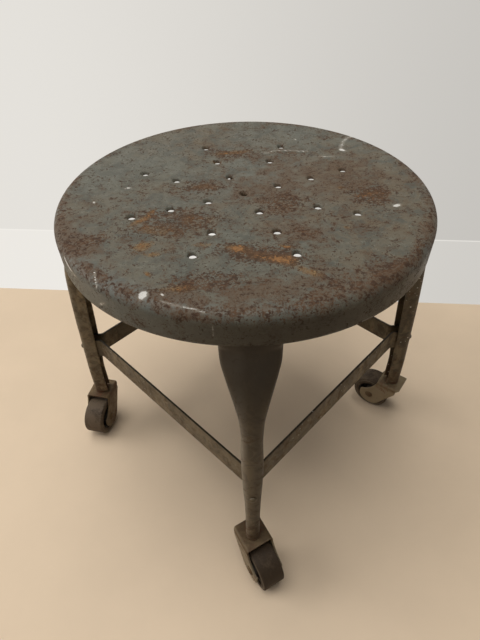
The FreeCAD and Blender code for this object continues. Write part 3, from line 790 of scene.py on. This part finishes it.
def leg_surface():
    """Points and faces of the +X leg.

    Level section: a crowned web, two corner arcs and two straight flanges, walked outside
    from lip to lip, round the lip and back inside, one sheet thickness in. Its reach,
    width, depth and crown follow smooth curves of the height.
    """
    sheet = sizes().leg_sheet
    z = np.linspace(leg_low[2], skirt_bottom + TAB_LAP * MM, 150)
    reach, width, depth, crown = (value[:, None] for value in leg_curves(z))
    corner = LEG_CORNER * MM
    half = width / 2 - corner
    centre = reach - crown
    corner_x = centre + np.sqrt((crown - corner) ** 2 - half ** 2)
    lean = np.arctan2(half, corner_x - centre)
    lip = reach - depth + sheet / 2

    def side(inset):
        """From the -Y lip to the +Y lip, along one face of the sheet."""
        run = np.linspace(0, 1, 7)[None, :-1]
        bend = np.linspace(0, 1, 8)[None, :-1]
        web = np.linspace(-1, 1, 21)[None]
        flange_x = lip + (corner_x - lip) * run
        flange_y = 0 * run + (half + corner - inset)
        angle = math.pi / 2 + (lean - math.pi / 2) * bend
        arc_x = corner_x + (corner - inset) * np.cos(angle)
        arc_y = half + (corner - inset) * np.sin(angle)
        web_x = centre + (crown - inset) * np.cos(lean * web)
        web_y = (crown - inset) * np.sin(lean * web)
        x = np.concatenate([flange_x, arc_x, web_x, arc_x[:, ::-1], flange_x[:, ::-1]], 1)
        y = np.concatenate([-flange_y, -arc_y, web_y, arc_y[:, ::-1], flange_y[:, ::-1]], 1)
        return x, y

    outer_x, outer_y = side(0.0)
    inner_x, inner_y = side(sheet)
    t = np.linspace(0, math.pi, 6)[None, 1:-1]
    tip_x = lip - sheet / 2 * np.sin(t)
    tip_y = (width / 2 - sheet / 2) + sheet / 2 * np.cos(t)
    x = np.concatenate([outer_x, tip_x, inner_x[:, ::-1], tip_x[:, ::-1]], 1)
    y = np.concatenate([outer_y, tip_y, inner_y[:, ::-1], -tip_y[:, ::-1]], 1)
    points = np.stack([x, y, z[:, None] + 0 * x], -1)
    rows, columns = x.shape
    faces = grid_faces(rows, columns, False, True).tolist()
    faces.append(list(range(columns))[::-1])
    faces.append(list(range((rows - 1) * columns, rows * columns)))
    return points.reshape(-1, 3), faces


class StoolLegs(bpy.types.Operator):
    """Four pressed channel legs with shield-shaped tops"""

    bl_idname = "stool.legs"
    bl_label = "Legs"

    def execute(self, context):
        points, faces = leg_surface()
        # The left leg's higher tone is painted light and the right leg's lower tone painted shade.
        # The front leg's last value is painted shade under the seat.
        coats = {"front": frame_enamel("leg_enamel_front", 1.15, 1.4, 0.0, 0.0, 0.88),
                 "right": frame_enamel("leg_enamel_right", 0.85, 1.2, 0.9, 0.3),
                 "back": frame_enamel("leg_enamel_back", 1.0, 1.0),
                 "left": frame_enamel("leg_enamel_left", 1.6, 1.3, 0.0, 0.3)}
        # The enamel is rubbed at the pressed corners. The front leg instead has a painted
        # highlight on its left corner and painted shade over its right side.
        behind = leg_curves(points[:, 2])[0] - points[:, 0]
        across = points[:, 1]
        corner = np.clip((10.0 * MM - behind) / (6.0 * MM), 0, 1)
        lit_corner = np.clip((-across - 3.0 * MM) / (7.0 * MM), 0, 1) * corner
        both_sides = np.clip((np.abs(across) - 6.0 * MM) / (6.0 * MM), 0, 1) * corner
        shaded_side = np.clip((across + 5.0 * MM) / (8.0 * MM), 0, 1)
        for name, angle in zip(LEG_NAMES, LEG_ANGLES):
            front = name == "front"
            piece = mesh_object("leg_skin_" + name, turned(points, angle), faces, 50.0,
                                {"rub": lit_corner if front else 0.3 * both_sides,
                                 "grime": 0.60 * front * shaded_side})
            wear(piece, coats[name])
            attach(piece, "frame")
            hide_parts("leg_" + name)
        return {"FINISHED"}


class StoolBraces(bpy.types.Operator):
    """Thin enamel on the four strap braces"""

    bl_idname = "stool.braces"
    bl_label = "Braces"

    def execute(self, context):
        top = float(node_box("brace_front_right")[1][2])
        light = frame_enamel("brace_enamel_front", 1.15, 0.0, 0.5, 1.0, 0.0, top)
        dark = frame_enamel("brace_enamel_back", 0.90, 0.0, 0.0, 0.6, 0.0, top)
        for name in ("brace_front_right", "brace_left_front"):
            wear(frame["nodes"][name], light)
        for name in ("brace_right_back", "brace_back_left"):
            wear(frame["nodes"][name], dark)
        return {"FINISHED"}


def dome(radius, height, base, hand):
    """Half an ellipse from its rim to its pole, as (radius, place along the axis) pairs."""
    t = np.linspace(0, math.pi / 2, 9)
    return [(radius * math.cos(a), base + hand * height * math.sin(a)) for a in t]


class StoolRivets(bpy.types.Operator):
    """Round-head rivets through legs and braces"""

    bl_idname = "stool.rivets"
    bl_label = "Rivets"

    def execute(self, context):
        s = sizes()
        low, high = node_box("brace_front_right")
        middle = (low[2] + high[2]) / 2
        above, reach, below = leg_curves(middle + np.array([0.012, 0.0, -0.012]))[0]
        tilt = math.atan2(below - above, 0.024)
        shank, tail, tail_height, grip = 1.7 * MM, 2.4 * MM, 1.4 * MM, 6.25 * MM
        profile = (dome(tail, tail_height, -grip, -1)[::-1] + [(shank, -grip), (shank, 0.0)]
                   + dome(s.rivet_radius, s.rivet_height, 0.0, 1))
        points, faces = revolved(profile, 32, "x")
        c, n = math.cos(tilt), math.sin(tilt)
        lean = np.array([[c, 0.0, n], [0.0, 1.0, 0.0], [-n, 0.0, c]])
        points = points @ lean + (reach + 0.2 * MM, 0.0, middle)
        four = np.concatenate([turned(points, angle) for angle in LEG_ANGLES])
        quads = np.concatenate([faces + k * len(points) for k in range(4)])
        piece = mesh_object("rivet_heads", four, quads, 35.0)
        wear(piece, frame_enamel("rivet_enamel", 0.9, 0.0, 0.0, 0.6))
        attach(piece, "frame")
        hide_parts("brace_rivets")
        return {"FINISHED"}


def caster_frame(name):
    """Swivel joint, roll joint and heading in degrees of a caster."""
    swivel = np.array(joint_of["swivel_" + name]["pos_m"])
    axle = np.array(joint_of["roll_" + name]["pos_m"])
    way = axle - swivel
    return swivel, axle, math.degrees(math.atan2(way[1], way[0]))


def yoke_surface():
    """Outer face of a yoke that heads along +X, its swivel axis at the origin.

    One parameter walks across the folded sheet, up one side plate, round the bend, over
    the top and down the other side. The other runs along the trail between two edges. The
    back edge is the tangent from the top's corner to the plate's round end, then the round
    end itself. The front edge is the round end up to its nose, then a hollow curve,
    1 - (1 - fall^1.5)^(2/3), up to the top plate. The back corners are rounded in plan.
    """
    half, top, bend = 16.5 * MM, 58.0 * MM, 3.6 * MM
    back, front, corner = -16.5 * MM, 15.0 * MM, 4.0 * MM
    end_x, end_z, end_radius, nose = 20.0 * MM, 25.0 * MM, 16.0 * MM, 31.0 * MM
    under = top - sizes().yoke_sheet
    nose_x = end_x + math.sqrt(end_radius ** 2 - (nose - end_z) ** 2)
    nose_angle = math.asin((nose - end_z) / end_radius)
    low = end_z + end_radius * np.sin(np.linspace(-math.pi / 2, nose_angle, 24)[1:])
    bow = np.linspace(math.pi / 2, math.asin((under - top + bend) / (under - nose)), 18)[1:]
    t = np.linspace(0, math.pi / 2, 8)[1:]
    y = np.concatenate([np.full(len(low) + len(bow), half), half - bend + bend * np.cos(t),
                        np.linspace(half - bend, 0, 10)[1:]])
    z = np.concatenate([low, under - (under - nose) * np.sin(bow), top - bend + bend * np.sin(t),
                        np.full(9, top)])
    y, z = np.concatenate([y, -y[-2::-1]]), np.concatenate([z, z[-2::-1]])

    round_end = np.sqrt(np.clip(end_radius ** 2 - (z - end_z) ** 2, 0, None))
    away = np.array([back - end_x, under - end_z])
    angle = math.atan2(away[1], away[0]) + math.acos(end_radius / np.hypot(*away))
    touch = np.array([end_x + end_radius * math.cos(angle), end_z + end_radius * math.sin(angle)])
    slant = back + (touch[0] - back) * np.clip((z - under) / (touch[1] - under), 0, 1)
    start = np.where(z > touch[1], slant, end_x - round_end)
    beyond = np.clip(np.abs(y) - (half - corner), 0, corner)
    start = np.maximum(start, back + corner - np.sqrt(corner ** 2 - beyond ** 2))
    fall = np.clip((under - z) / (under - nose), 0, 1)
    hollow = front + (nose_x - front) * (1 - (1 - fall ** 1.5) ** (2 / 3))
    end = np.where(z > nose, hollow, end_x + round_end)
    x = start[:, None] + (end - start)[:, None] * np.linspace(0, 1, 22)[None]
    return np.stack([x, y[:, None] + 0 * x, z[:, None] + 0 * x], -1)


class StoolYokes(bpy.types.Operator):
    """Folded caster yokes with rounded side plates"""

    bl_idname = "stool.yokes"
    bl_label = "Yokes"

    def execute(self, context):
        coats = {"front": caster_steel("yoke_steel_front", 0.2, 1.05),
                 "right": caster_steel("yoke_steel_right", 0.35, 1.5, 0.35, 0.9),
                 "back": caster_steel("yoke_steel_back", 0.5, 0.9),
                 "left": caster_steel("yoke_steel_left", 0.3, 1.2)}
        # How much lighter and cooler the side plates of each yoke are: partly plating that is
        # left, partly painted light.
        plating_and_light = {"front": 0.85, "right": 0.55, "back": 0.4, "left": 0.12}
        points = yoke_surface()
        faces = grid_faces(*points.shape[:2])[:, ::-1]
        for name in LEG_NAMES:
            swivel, _, heading = caster_frame(name)
            place = turned(points.reshape(-1, 3), heading) + (swivel[0], swivel[1], 0)
            plate = np.clip((54.0 * MM - place[:, 2]) / (4.0 * MM), 0, 1) * plating_and_light[name]
            piece = mesh_object("yoke_shell_" + name, place, faces, 35.0, {"plate": plate})
            thickened(piece, sizes().yoke_sheet)
            bevelled(piece, 0.0004)
            wear(piece, coats[name])
            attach(piece, "caster_" + name)
            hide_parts("yoke_" + name)
        return {"FINISHED"}


class StoolWheels(bpy.types.Operator):
    """Wheels: rounded tread with a moulded side line, and a recessed centre"""

    bl_idname = "stool.wheels"
    bl_label = "Wheels"

    def execute(self, context):
        centre = wheel_centre()
        dust = {"front": 0.0, "right": 0.5, "back": 0.5, "left": 1.0}
        rubbers = {name: wheel_rubber("wheel_rubber_" + name, dusty)
                   for name, dusty in dust.items()}
        radius, half = sizes().wheel_radius, sizes().tyre_width / 2
        bore = 18.0 * MM
        # Up one side from the bore over its groove, across the tread and down the other.
        side = [(bore, -half), (20.6 * MM, -half), (21.0 * MM, -half + 0.4 * MM),
                (21.6 * MM, -half + 0.4 * MM), (22.0 * MM, -half)]
        tyre = rounded_profile(
            side + [(radius, -half + 0.6 * MM), (radius, 0.0), (radius, half - 0.6 * MM)]
            + [(r, -h) for r, h in side[::-1]] + [(bore, -half)],
            [0, 0.15 * MM, 0.15 * MM, 0.3 * MM, 2.8 * MM, 0, 2.8 * MM, 0.3 * MM, 0.15 * MM,
             0.15 * MM, 0, 0, 0], 6)
        # From the hub, in to the web and out to the rim, then the same mirrored.
        rim = 17.95 * MM
        core = [(5.0 * MM, -14.2 * MM), (7.4 * MM, -14.2 * MM), (7.8 * MM, -13.8 * MM),
                (8.0 * MM, -3.4 * MM), (14.6 * MM, -2.5 * MM), (15.35 * MM, -9.9 * MM),
                (15.8 * MM, -10.5 * MM), (rim, -10.5 * MM)]
        core = core + [(r, -h) for r, h in core[::-1]] + [core[0]]
        core = rounded_profile(core, [0, 0.3 * MM, 1.2 * MM, 1.6 * MM, 0.5 * MM, 0.2 * MM,
                                      0.2 * MM, 0, 0.2 * MM, 0.2 * MM, 0.5 * MM, 1.6 * MM,
                                      1.2 * MM, 0.3 * MM, 0, 0], 5)
        side_line, line_width = 22.2 * MM, 0.9 * MM
        for name in LEG_NAMES:
            _, axle, heading = caster_frame(name)
            for part, profile, segments, coat, slot in (
                    ("tyre", tyre, 96, rubbers[name], "tyre_rubber"),
                    ("core", core, 72, centre, "core_plastic")):
                points, faces = revolved(profile, segments, "y")
                distance = np.hypot(points[:, 0], points[:, 2])
                edge = np.exp(-((distance - side_line) / line_width) ** 2)
                place = turned(points, heading) + axle
                piece = mesh_object(part + "_skin_" + name, place, faces, 35.0, {"edge": edge})
                wear(piece, coat)
                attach(piece, "wheel_" + name)
                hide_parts(part + "_" + name)
        return {"FINISHED"}


class StoolSteel(bpy.types.Operator):
    """Dull steel on axles, stems, sockets and bushings"""

    bl_idname = "stool.steel"
    bl_label = "Pins and sockets"

    def execute(self, context):
        pin = caster_steel("pin_steel", 0.6, 1.0, 0.5)
        rusty = caster_steel("stem_steel", 1.4, 0.9, 0.3)
        half, shank, head, head_height = 16.5 * MM, 3.2 * MM, 5.4 * MM, 2.2 * MM
        profile = (dome(head, head_height, -half, -1)[::-1] + [(shank, -half), (shank, half)]
                   + dome(head, head_height, half, 1))
        points, faces = revolved(profile, 32, "y")
        for name in LEG_NAMES:
            for part, coat in (("bushing_", pin), ("stem_", rusty), ("socket_", rusty)):
                wear(frame["nodes"][part + name], coat)
            _, axle, heading = caster_frame(name)
            piece = mesh_object("axle_pin_" + name, turned(points, heading) + axle, faces, 35.0)
            wear(piece, pin)
            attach(piece, "caster_" + name)
            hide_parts("axle_" + name)
        return {"FINISHED"}


# ---------------------------------------------------------------- stage
WALL_DISTANCE, WALL_SLANT, WALL_REACH, FLOOR_REACH = 0.257, 0.0963, 3, 6
CAMERA_PLACE = (-0.0075, -0.4060, 0.5755)
CAMERA_PITCH, CAMERA_ROLL, CAMERA_LENS = 43.91, 1.62, 25.66


def pale_floor(base):
    """Plain pale floor with faint unevenness."""
    f = Finish("pale_floor")
    cloud = f.noise(3.5, 6.0, 0.6)
    coat = f.mix(f.step(cloud, 0.35, 0.65, 0.0, 0.5), tuple(base), scaled(base, 0.88))
    return f.finish(coat, 0.6, 0.0, 0.25)


def pale_wall(base):
    """Plain pale wall with a lighter base board, and painted shade that darkens it a little to the
    right.

    Camera, glossy and transmission rays that meet its front see it evenly lit. All other
    rays, and those from behind it, pass through.
    """
    f = Finish("pale_wall")
    height = f.axis("Z")
    # Painted shade: the wall and its base board darken towards the right.
    level = f.step(f.axis("X"), -0.35, 0.45)
    coat = f.mix(level, tuple(base), scaled(base, 0.72))
    board = f.step(height, 0.1385, 0.1395, 1.0, 0.0)
    coat = f.mix(board, coat, f.mix(level, scaled(base, 1.08), scaled(base, 0.80)))
    seam = f.math("MULTIPLY", f.step(height, 0.1365, 0.1380),
                  f.step(height, 0.1385, 0.1400, 1.0, 0.0))
    coat = f.mix(f.math("MULTIPLY", seam, 0.5), coat, scaled(base, 1.2))
    glow = f.add("ShaderNodeEmission", {"Color": coat})
    clear = f.add("ShaderNodeBsdfTransparent")
    behind = f.add("ShaderNodeNewGeometry").outputs["Backfacing"]
    seen = f.math("MULTIPLY", f.seen(), f.math("SUBTRACT", 1.0, behind))
    both = f.add("ShaderNodeMixShader", {0: seen, 1: clear.outputs["BSDF"],
                                         2: glow.outputs["Emission"]})
    f.put(f.output.inputs["Surface"], both.outputs["Shader"])
    f.tree.nodes.remove(f.shader)
    return f.material


def area_light(name, place, aim, size, power, tint):
    """Soft square lamp that faces a point."""
    data = bpy.data.lights.new(name, "AREA")
    data.shape = "SQUARE"
    data.size = size
    data.energy = power
    data.color = tint
    lamp = bpy.data.objects.new(name, data)
    way = np.array(aim, float) - np.array(place, float)
    pitch = math.atan2(math.hypot(way[0], way[1]), -way[2])
    lamp.matrix_world = (Matrix.Translation(place)
                         @ Matrix.Rotation(math.atan2(way[1], way[0]) - math.pi / 2, 4, "Z")
                         @ Matrix.Rotation(pitch, 4, "X"))
    bpy.context.scene.collection.objects.link(lamp)


class StoolStage(bpy.types.Operator):
    """Pale floor and wall, soft lamps and the camera"""

    bl_idname = "stool.stage"
    bl_label = "Stage"

    def execute(self, context):
        c = colours()
        far, wide = FLOOR_REACH, WALL_REACH
        floor = mesh_object("floor", [(-far, -far, 0), (far, -far, 0), (far, far, 0),
                                      (-far, far, 0)], [(0, 1, 2, 3)])
        wear(floor, pale_floor(c.floor))
        left, right = WALL_DISTANCE + wide * WALL_SLANT, WALL_DISTANCE - wide * WALL_SLANT
        wall = mesh_object("wall", [(-wide, left, 0), (wide, right, 0), (wide, right, wide),
                                    (-wide, left, wide)], [(0, 1, 2, 3)])
        wear(wall, pale_wall(c.wall))

        world = bpy.data.worlds.new("studio")
        world.use_nodes = True
        w = Nodes(world.node_tree)
        dim = w.tree.nodes["Background"]
        w.put(dim.inputs["Color"], (1.0, 0.985, 0.965))
        w.put(dim.inputs["Strength"], 0.14)
        pale = w.add("ShaderNodeBackground", {"Color": (0.60, 0.585, 0.56), "Strength": 1.0})
        choice = w.add("ShaderNodeMixShader", {0: w.seen(), 1: dim.outputs[0],
                                               2: pale.outputs[0]})
        w.put(w.tree.nodes["World Output"].inputs["Surface"], choice.outputs[0])
        context.scene.world = world
        area_light("overhead", (-0.35, 0.15, 2.8), (0, 0.0, 0.2), 2.2, 58.0, (1.0, 0.985, 0.96))
        area_light("window", (-3.0, 0.3, 1.6), (0, 0, 0.25), 1.8, 46.0, (1.0, 0.99, 0.98))

        camera_data = bpy.data.cameras.new("camera")
        camera_data.sensor_fit = "VERTICAL"
        camera_data.sensor_height = 36.0
        camera_data.lens = CAMERA_LENS
        camera = bpy.data.objects.new("camera", camera_data)
        pitch, roll = math.radians(CAMERA_PITCH), math.radians(CAMERA_ROLL)
        across = np.array([1.0, 0.0, 0.0])
        forward = np.array([0.0, math.cos(pitch), -math.sin(pitch)])
        down = np.array([0.0, -math.sin(pitch), -math.cos(pitch)])
        matrix = np.eye(4)
        matrix[:3, 0] = math.cos(roll) * across + math.sin(roll) * down
        matrix[:3, 1] = math.sin(roll) * across - math.cos(roll) * down
        matrix[:3, 2] = -forward
        matrix[:3, 3] = CAMERA_PLACE
        camera.matrix_world = Matrix(matrix.tolist())
        context.scene.collection.objects.link(camera)
        context.scene.camera = camera
        context.scene.view_settings.view_transform = "Standard"
        return {"FINISHED"}


# ---------------------------------------------------------------- sidebar
STEPS = (StoolSeat, StoolLegs, StoolBraces, StoolRivets, StoolYokes, StoolWheels, StoolSteel,
         StoolStage)


class StoolPanel(bpy.types.Panel):
    """Sizes, colours and pieces of the stool"""

    bl_idname = "VIEW3D_PT_stool"
    bl_label = "Stool"
    bl_space_type = "VIEW_3D"
    bl_region_type = "UI"
    bl_category = "Stool"

    def draw(self, context):
        for group in (context.scene.stool_sizes, context.scene.stool_colours):
            box = self.layout.box()
            for name in group.__annotations__:
                box.prop(group, name)
        for step in STEPS:
            self.layout.operator(step.bl_idname)


CLASSES = (StoolSizes, StoolColours) + STEPS + (StoolPanel,)


def register():
    for entry in CLASSES:
        bpy.utils.register_class(entry)
    bpy.types.Scene.stool_sizes = bpy.props.PointerProperty(type=StoolSizes)
    bpy.types.Scene.stool_colours = bpy.props.PointerProperty(type=StoolColours)


def unregister():
    del bpy.types.Scene.stool_colours
    del bpy.types.Scene.stool_sizes
    for entry in reversed(CLASSES):
        bpy.utils.unregister_class(entry)


def main():
    register()
    for step in STEPS:
        group, name = step.bl_idname.split(".")
        getattr(getattr(bpy.ops, group), name)()


if __name__ == "__main__":
    main()
